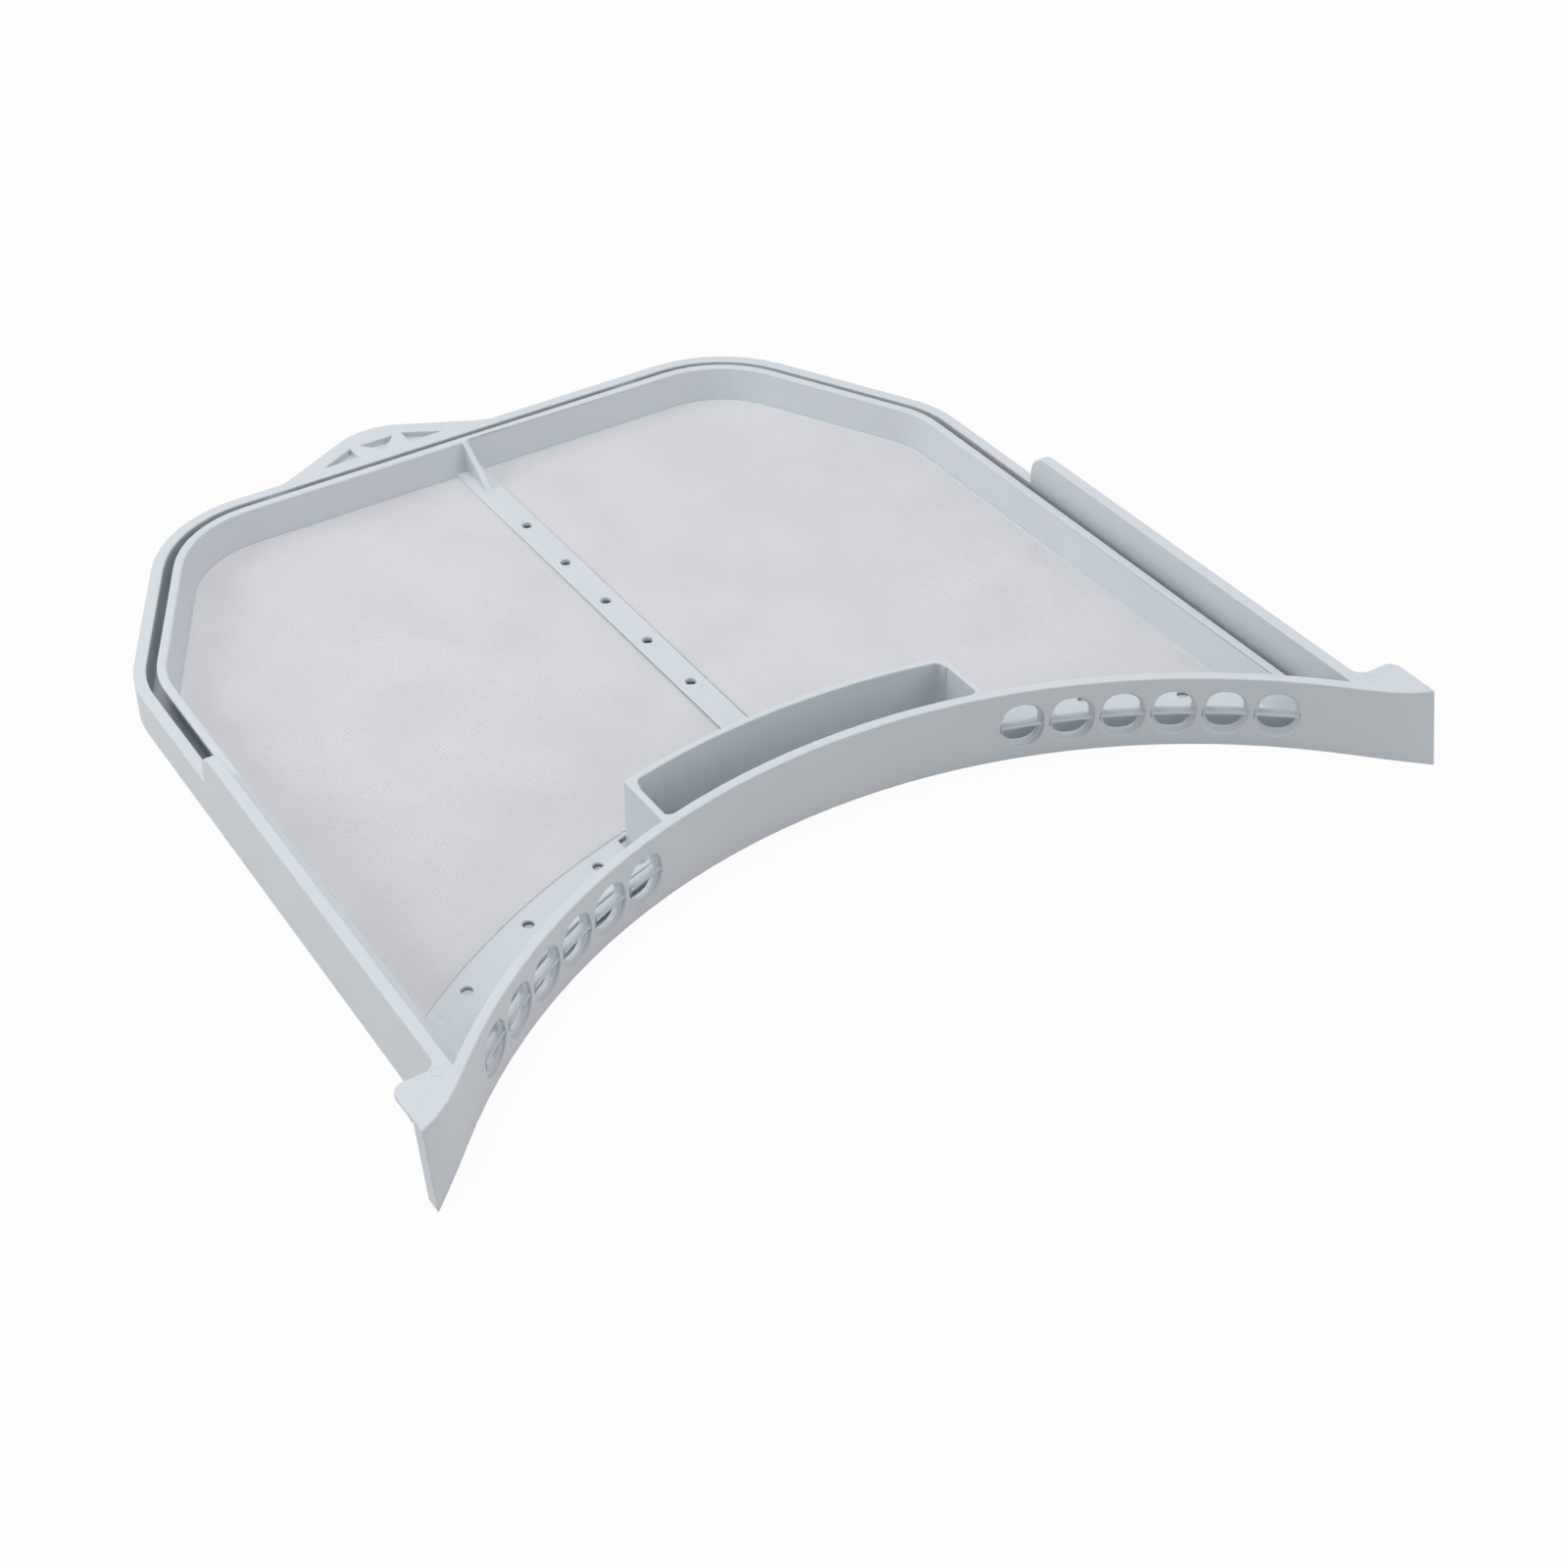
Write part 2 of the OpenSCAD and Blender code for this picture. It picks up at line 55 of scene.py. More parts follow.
# everything below is in metres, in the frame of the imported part
wallRadius = 0.212  # of the curved front wall
wallHalfWidth = 0.170
filterBody = {
    "middleY": 0.16725,  # from the line through the front corners to the origin
    "arcCentreY": -math.sqrt(wallRadius**2 - wallHalfWidth**2),  # centre of the curved wall, from that line
    "sideWidth": 0.3136,
    "shoulderWidth": 0.3044,
    "shoulderDepth": 0.2396,
    "backWidth": 0.2182,
    "backDepth": 0.318,
    "shoulderRadius": 0.040,
    "backRadius": 0.046,
    "arcSteps": 12,  # points on each rounded corner
}


def smoothMesh(name, points, faces, material):
    # one mesh object at the origin from arrays of points and faces
    mesh = bpy.data.meshes.new(name)
    mesh.from_pydata(points.reshape(-1, 3).tolist(), [], faces)
    mesh.polygons.foreach_set("use_smooth", np.ones(len(mesh.polygons), bool))
    mesh.materials.append(material)
    mesh.update()
    piece = bpy.data.objects.new(name, mesh)
    bpy.context.scene.collection.objects.link(piece)
    return piece


def gridFaces(rows, columns, closeRows=False, closeColumns=False):
    # the quads of a grid of rows x columns points, joined round where it is closed
    rowStarts = np.arange(rows - (not closeRows))
    columnStarts = np.arange(columns - (not closeColumns))
    i, j = np.meshgrid(rowStarts, columnStarts, indexing="ij")
    nextI, nextJ = (i + 1) % rows, (j + 1) % columns
    here, there = i * columns, nextI * columns
    quads = np.stack([here + j, here + nextJ, there + nextJ, there + j], -1)
    return quads.reshape(-1, 4).tolist()


def addNode(tree, kind, values=None, **settings):
    # a shader node with its settings and socket values
    node = tree.nodes.new(kind)
    for key, value in settings.items():
        setattr(node, key, value)
    for key, value in (values or {}).items():
        node.inputs[key].default_value = value
    return node


def newMaterial(name):
    # an empty node material with its Principled shader, its output and Object coordinates
    material = bpy.data.materials.new(name)
    material.use_nodes = True
    tree = material.node_tree
    tree.nodes.clear()
    output = addNode(tree, "ShaderNodeOutputMaterial")
    shader = addNode(tree, "ShaderNodeBsdfPrincipled")
    coordinates = addNode(tree, "ShaderNodeTexCoord")
    tree.links.new(shader.outputs[0], output.inputs[0])
    return material, tree, shader, coordinates.outputs["Object"]


def tone(tree, source, low, high):
    # spreads a noise value between two numbers or two colours; a Mix node's colours are its sockets 6 and 7
    if isinstance(low, tuple):
        node = addNode(tree, "ShaderNodeMix", data_type="RGBA")
        node.inputs[6].default_value, node.inputs[7].default_value = low, high
        tree.links.new(source, node.inputs[0])
        return node.outputs[2]
    node = addNode(tree, "ShaderNodeMapRange", {"To Min": low, "To Max": high})
    tree.links.new(source, node.inputs["Value"])
    return node.outputs[0]


def noise(tree, place, scale, detail, roughness=0.5):
    # a noise pattern of so many cells to the metre
    node = addNode(tree, "ShaderNodeTexNoise", {"Scale": scale, "Detail": detail, "Roughness": roughness})
    tree.links.new(place, node.inputs["Vector"])
    return node.outputs["Fac"]


plasticLook = {
    "light": (0.640, 0.680, 0.715, 1),
    "dark": (0.600, 0.640, 0.675, 1),
    "cloudScale": 22,  # slow differences of tone in the moulded plastic, per metre
    "patchScale": 88,  # differences of gloss, per metre
    "grainScale": 2600,  # fine mould grain, per metre
    "grainDepth": 0.00002,
    "grainStrength": 0.5,
    "flowScale": 45,  # soft sink and flow waviness, per metre
    "flowDepth": 0.0002,
    "flowStrength": 0.35,
    "roughness": (0.38, 0.5),
    "specular": 0.42,
}


def mouldedPlastic(look):
    # satin plastic: cloudy tone, a soft waviness from moulding, and fine grain
    material, tree, shader, place = newMaterial("pale_moulded_plastic")
    cloud = noise(tree, place, look["cloudScale"], detail=3)
    tree.links.new(tone(tree, cloud, look["dark"], look["light"]), shader.inputs["Base Color"])
    patch = noise(tree, place, look["patchScale"], detail=4)
    tree.links.new(tone(tree, patch, *look["roughness"]), shader.inputs["Roughness"])
    shader.inputs["Specular IOR Level"].default_value = look["specular"]
    soft = {"Strength": look["flowStrength"], "Distance": look["flowDepth"]}
    flow = addNode(tree, "ShaderNodeBump", soft)
    tree.links.new(noise(tree, place, look["flowScale"], detail=1), flow.inputs["Height"])
    fine = {"Strength": look["grainStrength"], "Distance": look["grainDepth"]}
    grain = addNode(tree, "ShaderNodeBump", fine)
    tree.links.new(noise(tree, place, look["grainScale"], detail=2), grain.inputs["Height"])
    tree.links.new(flow.outputs[0], grain.inputs["Normal"])
    tree.links.new(grain.outputs[0], shader.inputs["Normal"])
    return material


meshLook = {
    "thread": (0.690, 0.690, 0.716, 1),
    "hole": (0.440, 0.440, 0.466, 1),
    "lint": (0.648, 0.648, 0.674, 1),
    "pitch": 0.00084,  # from thread to thread
    "turn": 4,  # degrees that the weave is turned
    "threadEdge": (0.35, 0.8),  # height on the sines where a hole ends and where a thread is full
    "weaveDepth": 0.00012,
    "weaveStrength": 0.4,
    "plainTone": 0.69,  # where the weave fades to one tone
    "fade": (0.25, 1.1),  # share of the weave that shows, at the ends of the noise range below
    "fadeScale": 34,  # patches where the weave shows more or less, per metre
    "fadeNoise": (0.38, 0.62),
    "lintScale": 30,
    "roughness": 0.62,
    "sheen": 0.15,
    "specular": 0.25,
}


def wovenMesh(look):
    # fine square weave, slightly turned: the threads are where the larger of two crossed |sines| is high,
    # the holes between are darker, and a slow noise fades the weave to one tone
    material, tree, shader, place = newMaterial("fine_filter_mesh")
    turned = addNode(tree, "ShaderNodeMapping")
    turned.inputs["Rotation"].default_value = (0, 0, math.radians(look["turn"]))
    turned.inputs["Scale"].default_value = (math.pi / look["pitch"],) * 3
    tree.links.new(place, turned.inputs["Vector"])
    parts = addNode(tree, "ShaderNodeSeparateXYZ")
    tree.links.new(turned.outputs[0], parts.inputs[0])
    rows = []
    for axis in (0, 1):
        wave = addNode(tree, "ShaderNodeMath", operation="SINE")
        tree.links.new(parts.outputs[axis], wave.inputs[0])
        size = addNode(tree, "ShaderNodeMath", operation="ABSOLUTE")
        tree.links.new(wave.outputs[0], size.inputs[0])
        rows.append(size.outputs[0])
    top = addNode(tree, "ShaderNodeMath", operation="MAXIMUM")
    tree.links.new(rows[0], top.inputs[0])
    tree.links.new(rows[1], top.inputs[1])
    holeEnd, threadStart = look["threadEdge"]
    thread = addNode(tree, "ShaderNodeMapRange", {"From Min": holeEnd, "From Max": threadStart})
    tree.links.new(top.outputs[0], thread.inputs["Value"])
    noiseLow, noiseHigh = look["fadeNoise"]
    fadeLow, fadeHigh = look["fade"]
    spread = {"From Min": noiseLow, "From Max": noiseHigh, "To Min": fadeLow, "To Max": fadeHigh}
    patch = addNode(tree, "ShaderNodeMapRange", spread)
    tree.links.new(noise(tree, place, look["fadeScale"], detail=2), patch.inputs["Value"])
    shown = addNode(tree, "ShaderNodeMix", data_type="FLOAT")
    shown.inputs[2].default_value = look["plainTone"]
    tree.links.new(patch.outputs[0], shown.inputs[0])
    tree.links.new(thread.outputs[0], shown.inputs[3])
    lint = noise(tree, place, look["lintScale"], detail=3, roughness=0.6)
    dusty = tone(tree, lint, look["lint"], look["thread"])
    mix = addNode(tree, "ShaderNodeMix", data_type="RGBA")
    mix.inputs[6].default_value = look["hole"]
    tree.links.new(shown.outputs[0], mix.inputs[0])
    tree.links.new(dusty, mix.inputs[7])
    tree.links.new(mix.outputs[2], shader.inputs["Base Color"])
    raised = {"Strength": look["weaveStrength"], "Distance": look["weaveDepth"]}
    bump = addNode(tree, "ShaderNodeBump", raised)
    tree.links.new(thread.outputs[0], bump.inputs["Height"])
    tree.links.new(bump.outputs[0], shader.inputs["Normal"])
    shader.inputs["Roughness"].default_value = look["roughness"]
    shader.inputs["Sheen Weight"].default_value = look["sheen"]
    shader.inputs["Specular IOR Level"].default_value = look["specular"]
    return material


plastic = mouldedPlastic(plasticLook)
cloth = wovenMesh(meshLook)
print("lint filter: materials made")

mouldEdges = {
    "outer_frame": {"name": "frameMoulding", "body": "frame", "merge": 0.00002},
    "inner_frame": {"name": "trayMoulding", "body": "tray", "merge": 0.00006},
    "seamX": 0.153,  # where the curved wall's ends leave its arc, from the middle
    "seamReach": 0.0006,
    "endReach": 0.00025,  # height of the thin slabs that close the wall's ends, and a little more
    "endLength": 0.012,  # how far behind the seams the wall's ends are searched
    "round": 0.0005,
    "sharpAngle": 32,
    "segments": 3,
    "shadeAngle": 38,  # steeper steps that are left after the rounding stay crisp
    "faceWeight": 100,  # how much more a large face counts in the shading
}


def roundedMoulding(node, settings):
    # a copy of the CAD moulding: the thin steps at the curved wall's ends are closed, the edges rounded,
    # and the faces triangulated again, with the steeper steps that are left kept crisp
    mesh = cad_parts[node].data.copy()
    mesh.name = settings[node]["name"]
    places = np.empty(len(mesh.vertices) * 3)
    mesh.vertices.foreach_get("co", places)
    places = places.reshape(-1, 3)
    fromAxis = math.sqrt(wallRadius**2 - settings["seamX"] ** 2)
    seamY = filterBody["arcCentreY"] - filterBody["middleY"] + fromAxis
    offSeam = np.maximum(abs(abs(places[:, 0]) - settings["seamX"]), abs(places[:, 1] - seamY))
    atSeam = offSeam < settings["seamReach"]
    places[atSeam, 0] = np.sign(places[atSeam, 0]) * settings["seamX"]
    places[atSeam, 1] = seamY
    beyondSeam = abs(places[:, 0]) > settings["seamX"] - settings["seamReach"]
    atEnd = beyondSeam & (places[:, 1] < seamY + settings["endLength"])
    for level in (cadLow.z, cadHigh.z):
        places[atEnd & (abs(places[:, 2] - level) < settings["endReach"]), 2] = level
    mesh.vertices.foreach_set("co", places.ravel())
    work = bmesh.new()
    work.from_mesh(mesh)
    bmesh.ops.remove_doubles(work, verts=work.verts, dist=settings[node]["merge"])
    bmesh.ops.dissolve_degenerate(work, edges=work.edges, dist=settings[node]["merge"])
    work.to_mesh(mesh)
    work.free()
    for name in {"custom_normal", "sharp_face", "sharp_edge"} & set(mesh.attributes.keys()):
        mesh.attributes.remove(mesh.attributes[name])
    mesh.polygons.foreach_set("use_smooth", np.ones(len(mesh.polygons), bool))
    mesh.materials.clear()
    mesh.materials.append(plastic)
    piece = bpy.data.objects.new(settings[node]["name"], mesh)
    bpy.context.scene.collection.objects.link(piece)
    bevel = piece.modifiers.new("edgeRound", "BEVEL")
    bevel.width = settings["round"]
    bevel.segments = settings["segments"]
    bevel.limit_method = "ANGLE"
    bevel.angle_limit = math.radians(settings["sharpAngle"])
    bevel.use_clamp_overlap = False
    bevel.loop_slide = False
    rounded = bpy.data.meshes.new_from_object(piece.evaluated_get(bpy.context.evaluated_depsgraph_get()))
    rounded.name = settings[node]["name"] + "Rounded"
    work = bmesh.new()
    work.from_mesh(rounded)
    bmesh.ops.triangulate(work, faces=work.faces, quad_method="BEAUTY", ngon_method="BEAUTY")
    work.to_mesh(rounded)
    work.free()
    rounded.set_sharp_from_angle(angle=math.radians(settings["shadeAngle"]))
    piece.modifiers.clear()
    piece.data = rounded
    bpy.data.meshes.remove(mesh)
    shading = piece.modifiers.new("flatShading", "WEIGHTED_NORMAL")
    shading.weight = settings["faceWeight"]
    shading.keep_sharp = True
    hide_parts(node)
    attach(piece, settings[node]["body"])


roundedMoulding("outer_frame", mouldEdges)
roundedMoulding("inner_frame", mouldEdges)
print("lint filter: frame and tray mouldings rounded")

meshPanel = {
    "thickness": 0.0003,
    "rows": 180,
    "columns": 90,
    "trayInset": 0.0129,  # from the frame's outside to the foot of the tray's walls
    "trayTop": 0.0030,
    "trayArc": 0.2395,  # radius of the front edge, about the curved wall's axis
    "trayRib": 0.005,
    "trayBand": (0.2475, 0.0481),  # radius and half width of the plain band behind the pocket
    "frameInset": 0.013,
    "frameTop": 0.0012,
    "frameArc": 0.2244,
    "frameRib": 0.007,
    "frameBand": (0.2408, 0.0611),
    "waveHeight": 0.00028,
    "waveAcross": (61, 1.3, 23, 0.6),  # radians per metre, size of the sway, its radians per metre, shift
    "waveBack": (47, 0.9, 31, 1.1),  # the same from front to back
    "rippleShare": 0.3,  # of a wave's height
    "ripples": ((170, 95), (-60, 140)),  # radians per metre across and back, for each of the two
    "creaseHeight": 0.00035,
    "creases": (  # x, depth, turn in degrees, reach and width
        (0.093, 0.152, 12, 0.060, 0.0045),
        (0.055, 0.215, 74, 0.045, 0.006),
        (0.115, 0.105, -38, 0.040, 0.004),
    ),
    "creaseSway": (0.004, 70),  # size of a crease's bends, and their radians per metre along it
    "edgeFade": 0.008,
    "rowCrowding": 0.12,  # rows are a little closer at both ends
    "searchSteps": 20001,  # depths at which the outline is looked up
    "tuck": 0.00047,  # how far the mesh reaches over the rounded edges of the strip, band and rib
}


def outlineSide(inset, body):
    # the right side of the body's outline moved inwards, as points of rising depth: straight lines joined
    # by arcs, each about the point that lies radius / sin(half the corner's angle) in from its corner
    angledDepth = body["backDepth"] - body["shoulderDepth"]
    turn = math.atan2(body["shoulderWidth"] - body["backWidth"], 2 * angledDepth)
    lean = math.atan2(body["sideWidth"] - body["shoulderWidth"], 2 * body["shoulderDepth"])
    backY = body["backDepth"] - inset
    sideAt = lambda y: body["sideWidth"] / 2 - y * math.tan(lean) - inset / math.cos(lean)
    angledIn = body["shoulderWidth"] / 2 - inset / math.cos(turn)
    angledAt = lambda y: angledIn - (y - body["shoulderDepth"]) * math.tan(turn)
    meetY = (sideAt(0) - angledAt(0)) / (math.tan(lean) - math.tan(turn))
    corners = np.array([[sideAt(0), 0], [sideAt(meetY), meetY], [angledAt(backY), backY], [0, backY]])
    radii = (body["shoulderRadius"] - inset, body["backRadius"] - inset)
    line = [corners[:1]]
    for corner, radius in zip((1, 2), radii):
        before = corners[corner - 1] - corners[corner]
        after = corners[corner + 1] - corners[corner]
        before, after = before / np.linalg.norm(before), after / np.linalg.norm(after)
        half = math.acos(before @ after) / 2
        middle = (before + after) / np.linalg.norm(before + after)
        centre = corners[corner] + middle * radius / math.sin(half)
        sweep = np.linspace(-(math.pi / 2 - half), math.pi / 2 - half, body["arcSteps"])[:, None]
        across = np.array([-middle[1], middle[0]])
        line.append(centre - middle * radius * np.cos(sweep) + across * radius * np.sin(sweep))
    line = np.concatenate(line + [corners[-1:]])
    depths = np.round(line[:, 1], 7)  # points at one depth, to 0.1 micrometre, go from the side to the middle
    return line[np.lexsort((-line[:, 0], depths))], backY


def filterMesh(name, stage, side, body, panel):
    # one mesh panel: rows run back from the front tip, columns from the rib to the side wall. Its height is
    # that of the opening plus crossed sines, a finer ripple and bell-shaped creases that fade near the edges
    line, backY = outlineSide(panel[stage + "Inset"], body)
    arc, rib = panel[stage + "Arc"] - panel["tuck"], panel[stage + "Rib"] - panel["tuck"]
    bandArc, bandHalf = (value - panel["tuck"] for value in panel[stage + "Band"])
    centreY = body["arcCentreY"]
    ys = np.linspace(0, backY, panel["searchSteps"])
    outer = np.interp(ys, line[:, 1], line[:, 0])
    arcX = np.sqrt(np.clip(arc**2 - (ys - centreY) ** 2, 0, None))
    bandX = np.minimum(bandHalf, np.sqrt(np.clip(bandArc**2 - (ys - centreY) ** 2, 0, None)))
    inner = np.maximum(np.maximum(arcX, bandX), rib)
    tipY = ys[np.argmax(outer > inner)]
    t = np.linspace(0, 1, panel["rows"])
    y = tipY + (backY - tipY) * (t + panel["rowCrowding"] * np.sin(2 * math.pi * t) / (2 * math.pi))
    left, right = np.interp(y, ys, inner), np.interp(y, ys, outer)
    u = np.linspace(0, 1, panel["columns"])[None, :]
    x = left[:, None] * (1 - u) + right[:, None] * u
    y = np.repeat(y[:, None], panel["columns"], 1)
    toEdge = np.minimum(np.minimum(x - left[:, None], right[:, None] - x), np.minimum(y - tipY, backY - y))
    inward = np.clip(toEdge / panel["edgeFade"], 0, 1)
    fade = inward**2 * (3 - 2 * inward)
    turned = side * x
    pace, sway, swayPace, shift = panel["waveAcross"]
    acrossWave = np.sin(turned * pace + sway * np.sin(y * swayPace) + shift * side)
    pace, sway, swayPace, shift = panel["waveBack"]
    wave = acrossWave * np.sin(y * pace + sway * np.sin(turned * swayPace) + shift)
    (firstX, firstY), (secondX, secondY) = panel["ripples"]
    firstRipple = np.sin(turned * firstX + y * firstY)
    ripple = panel["rippleShare"] * firstRipple * np.sin(y * secondY + turned * secondX)
    highest = 1 + panel["rippleShare"]
    crease = np.zeros_like(x)
    sway, swayPace = panel["creaseSway"]
    for x0, y0, angle, reach, width in panel["creases"]:
        cosine, sine = math.cos(math.radians(angle)), math.sin(math.radians(angle))
        along = (x - x0) * cosine + (y - y0) * sine
        off = -(x - x0) * sine + (y - y0) * cosine + sway * np.sin(along * swayPace)
        crease += np.exp(-((off / width) ** 2) - (along / reach) ** 2)
    swell = panel["waveHeight"] * (wave + ripple + highest) / highest + panel["creaseHeight"] * crease
    z = panel[stage + "Top"] + fade * swell
    points = np.stack([side * x, y - body["middleY"], z], -1)
    faces = gridFaces(panel["rows"], panel["columns"])
    if side < 0:
        faces = [face[::-1] for face in faces]
    piece = smoothMesh(name, points, faces, cloth)
    area = float(((right - left)[:-1] * np.diff(y[:, 0])).sum())
    thick = piece.modifiers.new("thickness", "SOLIDIFY")
    thick.thickness = panel["thickness"]
    thick.offset = -1
    size = (float(right.max() - left.min()), float(backY - tipY))
    print("lint filter:", name, "cut to", [round(v, 4) for v in size], "area", round(area, 5))
    return piece, size, area


for stage, body, carrier in (("tray", "tray", "trayMoulding"), ("frame", "frame", "frameMoulding")):
    for sideName, side in (("left", -1), ("right", 1)):
        node = ("inner_mesh_" if stage == "tray" else "outer_mesh_") + sideName
        name = stage + "Mesh" + sideName.capitalize()
        panel, size, area = filterMesh(name, stage, side, filterBody, meshPanel)
        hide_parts(node)
        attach(panel, body)
    if stage == "tray":
        trayTip = filterBody["backDepth"] - meshPanel["trayInset"] - size[1]
print("lint filter: mesh panels stretched")

meshBorder = {
    "section": (  # inset from the wall's foot and height above the mesh, round the section
        (-0.0004, -0.0001),
        (-0.0004, 0.00016),
        (0.0011, 0.00015),
        (0.0013, 0.0001),
        (0.0013, -0.0001),
    ),
}


def plainBorder(name, tipY, body, panel, border):
    # the narrow plain edge that holds the mesh along the tray's walls: its section is carried along the
    # outline, each point of it on the outline of its own inset
    paths = []
    for inset, height in border["section"]:
        line, backY = outlineSide(panel["trayInset"] + inset, body)
        line[0] = np.interp(tipY, line[:2, 1], line[:2, 0]), tipY
        path = np.concatenate([line, line[-2::-1] * (-1, 1)])
        level = np.full(len(path), panel["trayTop"] + height)
        paths.append(np.stack([path[:, 0], path[:, 1] - body["middleY"], level], -1))
    points = np.stack(paths, 1)
    rows, columns = points.shape[:2]
    ends = [list(range(columns)), list(range(rows * columns - 1, (rows - 1) * columns - 1, -1))]
    return smoothMesh(name, points, gridFaces(rows, columns, False, True) + ends, plastic)


trayBorder = plainBorder("trayMeshBorder", trayTip, filterBody, meshPanel, meshBorder)
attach(trayBorder, "tray")
print("lint filter: plain border laid round the tray's mesh")

ejectorMarks = {
    "ringWidth": 0.00016,
    "ringHeight": 0.00007,
    "ringSteps": 48,
    "sectionSteps": 8,
    "onFrame": (  # x, y, z and radius
        (-0.1573, -0.1420, 0.0252, 0.0015),
        (0.1584, -0.1438, 0.0252, 0.0017),
        (0.1690, -0.1560, 0.0252, 0.0007),
    ),
    "onTray": (
        (-0.1376, -0.1040, 0.0030, 0.0018),
        (0.0014, -0.0142, 0.0037, 0.0015),
        (0.0014, 0.0125, 0.0037, 0.0015),
    ),
}


def ejectorRing(name, x, y, z, radius, marks):
    # a ring of flattened round section: out by radius + width * cos(section), up by height * sin(section)
    rows, columns = marks["ringSteps"], marks["sectionSteps"]
    turn = np.linspace(0, 2 * math.pi, rows, endpoint=False)[:, None]
    section = np.linspace(0, -2 * math.pi, columns, endpoint=False)[None, :]
    reach = radius + marks["ringWidth"] * np.cos(section)
    height = z + marks["ringHeight"] * np.sin(section) + 0 * turn
    points = np.stack([x + reach * np.cos(turn), y + reach * np.sin(turn), height], -1)
    return smoothMesh(name, points, gridFaces(rows, columns, True, True), plastic)


for body, places in (("frame", ejectorMarks["onFrame"]), ("tray", ejectorMarks["onTray"])):
    for number, place in enumerate(places):
        ring = ejectorRing(f"{body}EjectorRing{number + 1}", *place, ejectorMarks)
        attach(ring, body)
print("lint filter: ejector marks set")

studio = {
    "floorSize": 3.0,
    "floorTone": 0.54,
    "floorGap": 0.0006,
    "whiteShare": 0.96,  # of what the camera sees of the floor
    "skyColour": (0.96, 0.98, 1.0, 1),
    "skyBack": 0.54,
    "skyFront": 0.44,
    "lampColour": (1.0, 0.995, 0.985),
    "keyPower": 10.3,
    "keySize": 0.8,
    "keyPlace": (-0.12, 0.28, 1.5),
    "leftPower": 9.2,
    "rightPower": 5.4,
    "sideSize": 0.9,
    "leftPlace": (-1.4, 0.7, 0.8),
    "rightPlace": (0.8, -1.3, 0.7),
    "target": (-0.00125, -0.06418, 0),
    "azimuth": -33.099,
    "elevation": 38.359,
    "roll": 0.191,
    "distance": 0.85596,
    "lens": 65.2,
    "sensor": 36,
    "clipStart": 0.02,
}


def studioFloor(settings):
    # a pale floor: for camera and glossy rays a large share of it is plain white light, and the matte rest
    # keeps a faint shadow
    half = settings["floorSize"] / 2
    corners = np.array([[-half, -half, 0], [half, -half, 0], [half, half, 0], [-half, half, 0]])
    material = bpy.data.materials.new("pale_floor")
    material.use_nodes = True
    tree = material.node_tree
    tree.nodes.clear()
    output = addNode(tree, "ShaderNodeOutputMaterial")
    matte = addNode(tree, "ShaderNodeBsdfDiffuse", {"Color": (settings["floorTone"],) * 3 + (1,)})
    white = addNode(tree, "ShaderNodeEmission", {"Color": (1, 1, 1, 1), "Strength": 1.0})
    rays = addNode(tree, "ShaderNodeLightPath")
    seen = addNode(tree, "ShaderNodeMath", operation="MAXIMUM")
    tree.links.new(rays.outputs["Is Camera Ray"], seen.inputs[0])
    tree.links.new(rays.outputs["Is Glossy Ray"], seen.inputs[1])
    share = addNode(tree, "ShaderNodeMath", {1: settings["whiteShare"]}, operation="MULTIPLY")
    tree.links.new(seen.outputs[0], share.inputs[0])
    mix = addNode(tree, "ShaderNodeMixShader")
    tree.links.new(share.outputs[0], mix.inputs[0])
    tree.links.new(matte.outputs[0], mix.inputs[1])
    tree.links.new(white.outputs[0], mix.inputs[2])
    tree.links.new(mix.outputs[0], output.inputs[0])
    floor = smoothMesh("studioFloor", corners, [[0, 1, 2, 3]], material)
    floor.location.z = cadLow.z - settings["floorGap"]


def softLamp(name, place, size, power, settings):
    # a square area lamp that faces the part
    lamp = bpy.data.lights.new(name, "AREA")
    lamp.size = size
    lamp.energy = power
    lamp.color = settings["lampColour"]
    holder = bpy.data.objects.new(name, lamp)
    holder.location = place
    holder.rotation_euler = (Vector(settings["target"]) - Vector(place)).to_track_quat("-Z", "Y").to_euler()
    bpy.context.scene.collection.objects.link(holder)


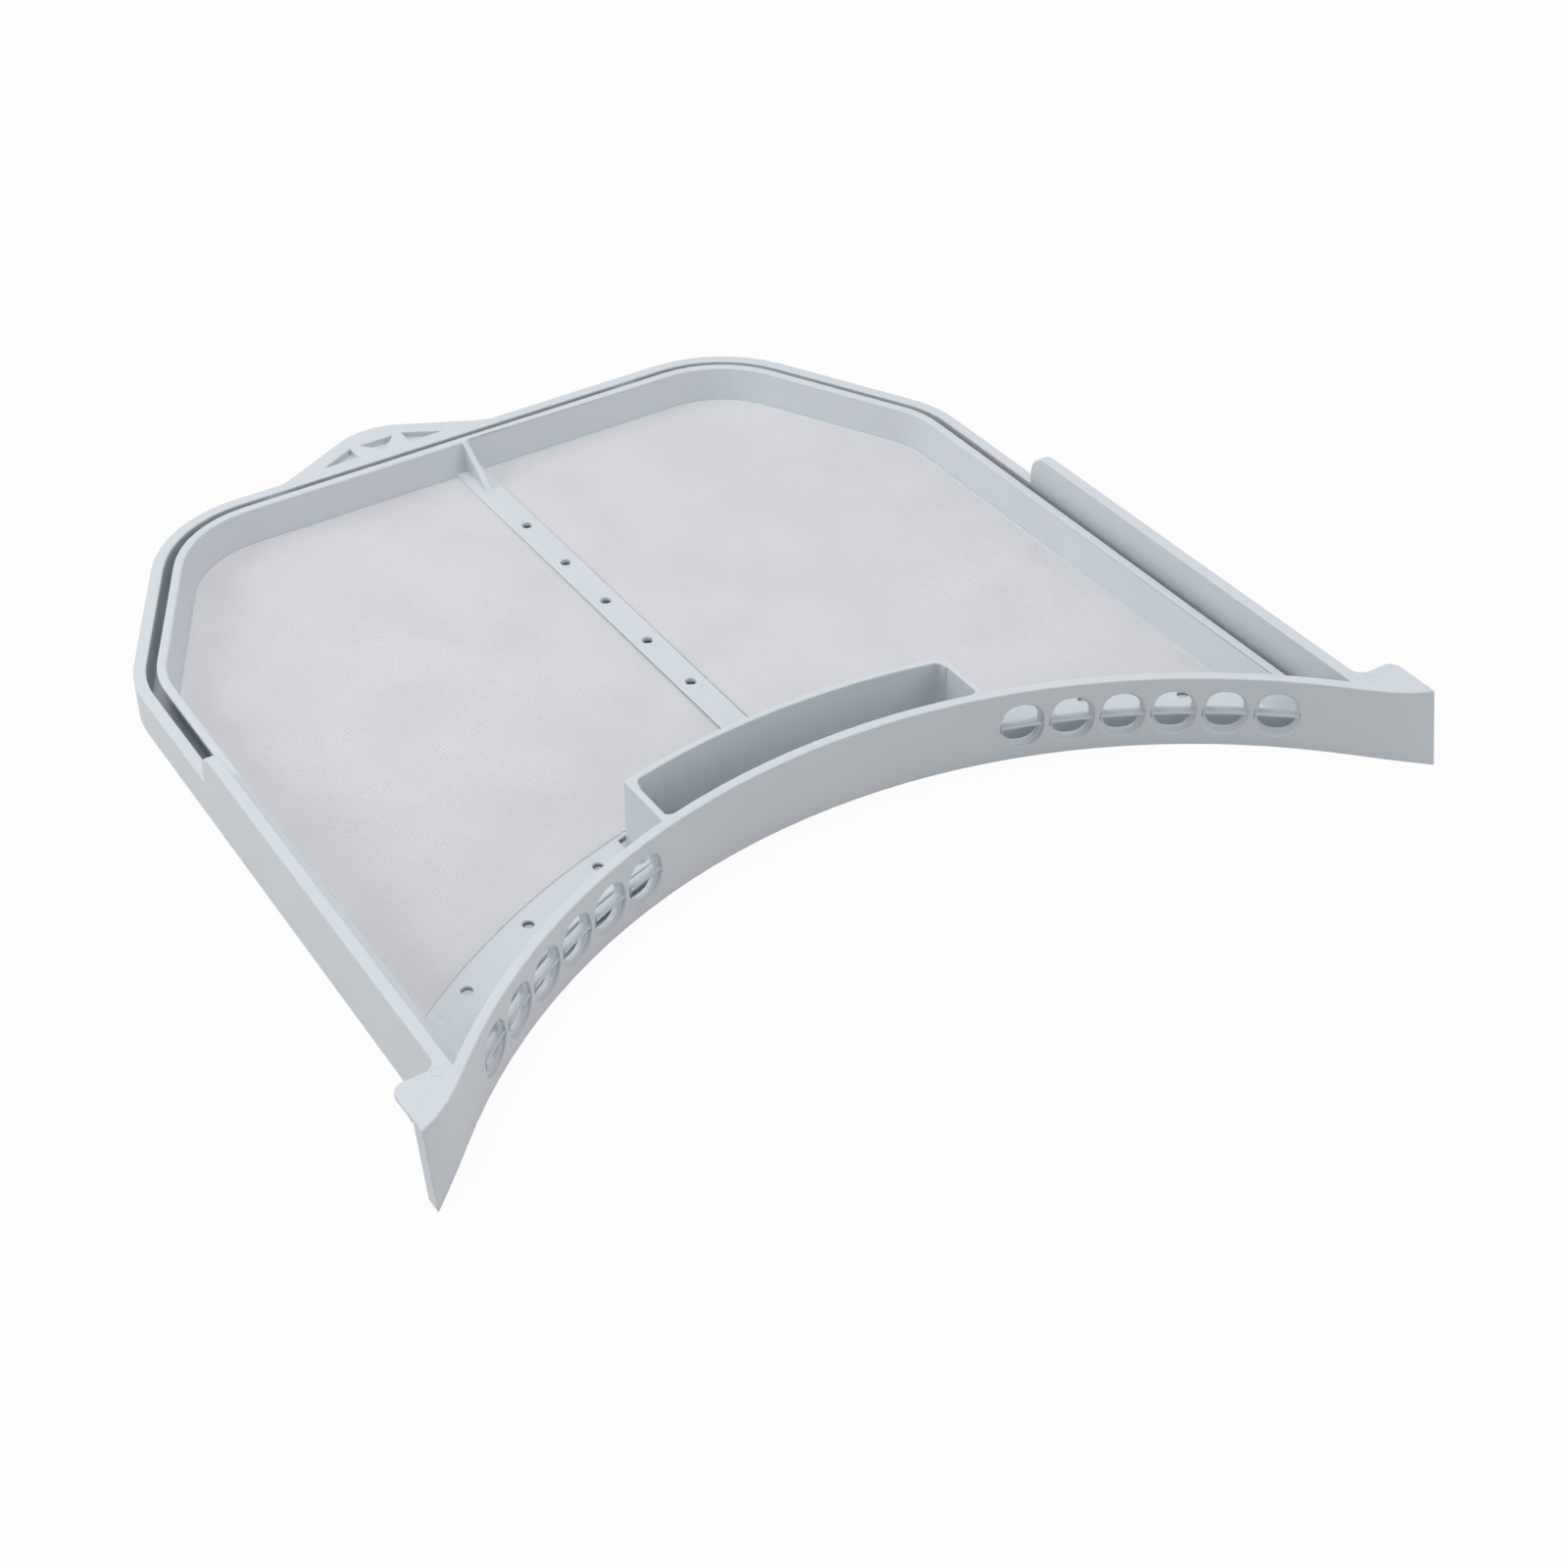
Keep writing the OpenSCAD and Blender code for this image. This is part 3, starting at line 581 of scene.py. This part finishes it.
def studioWorld(settings):
    # a pale sky: its strength rises evenly from front to back, and it is white where the camera sees it
    world = bpy.data.worlds.new("studioSky")
    bpy.context.scene.world = world
    world.use_nodes = True
    tree = world.node_tree
    sky = tree.nodes["Background"]
    sky.inputs["Color"].default_value = settings["skyColour"]
    direction = addNode(tree, "ShaderNodeTexCoord")
    parts = addNode(tree, "ShaderNodeSeparateXYZ")
    tree.links.new(direction.outputs["Generated"], parts.inputs[0])
    graded = {"From Min": -1.0, "To Min": settings["skyFront"], "To Max": settings["skyBack"]}
    grade = addNode(tree, "ShaderNodeMapRange", graded)
    tree.links.new(parts.outputs[1], grade.inputs["Value"])
    tree.links.new(grade.outputs[0], sky.inputs["Strength"])
    white = addNode(tree, "ShaderNodeBackground", {"Color": (1, 1, 1, 1), "Strength": 1.0})
    rays = addNode(tree, "ShaderNodeLightPath")
    mix = addNode(tree, "ShaderNodeMixShader")
    tree.links.new(rays.outputs["Is Camera Ray"], mix.inputs[0])
    tree.links.new(sky.outputs[0], mix.inputs[1])
    tree.links.new(white.outputs[0], mix.inputs[2])
    tree.links.new(mix.outputs[0], tree.nodes["World Output"].inputs[0])


def photographCamera(settings):
    # a camera that looks at the target from its azimuth, elevation and distance, slightly rolled
    a, e, roll = (math.radians(settings[key]) for key in ("azimuth", "elevation", "roll"))
    back = Vector((math.sin(a) * math.cos(e), -math.cos(a) * math.cos(e), math.sin(e)))
    right = (-back).cross(Vector((0, 0, 1))).normalized()
    up = back.cross(right)
    across = math.cos(roll) * right + math.sin(roll) * up
    upright = -math.sin(roll) * right + math.cos(roll) * up
    camera = bpy.data.cameras.new("photographCamera")
    camera.lens = settings["lens"]
    camera.sensor_width = settings["sensor"]
    camera.clip_start = settings["clipStart"]
    holder = bpy.data.objects.new("photographCamera", camera)
    turn = Matrix((across, upright, back)).transposed().to_4x4()
    place = Vector(settings["target"]) + back * settings["distance"]
    holder.matrix_world = Matrix.Translation(place) @ turn
    bpy.context.scene.collection.objects.link(holder)
    bpy.context.scene.camera = holder


studioFloor(studio)
studioWorld(studio)
softLamp("keyLamp", studio["keyPlace"], studio["keySize"], studio["keyPower"], studio)
softLamp("leftLamp", studio["leftPlace"], studio["sideSize"], studio["leftPower"], studio)
softLamp("rightLamp", studio["rightPlace"], studio["sideSize"], studio["rightPower"], studio)
photographCamera(studio)
bpy.context.scene.view_settings.view_transform = "Standard"
print("lint filter: studio lit")
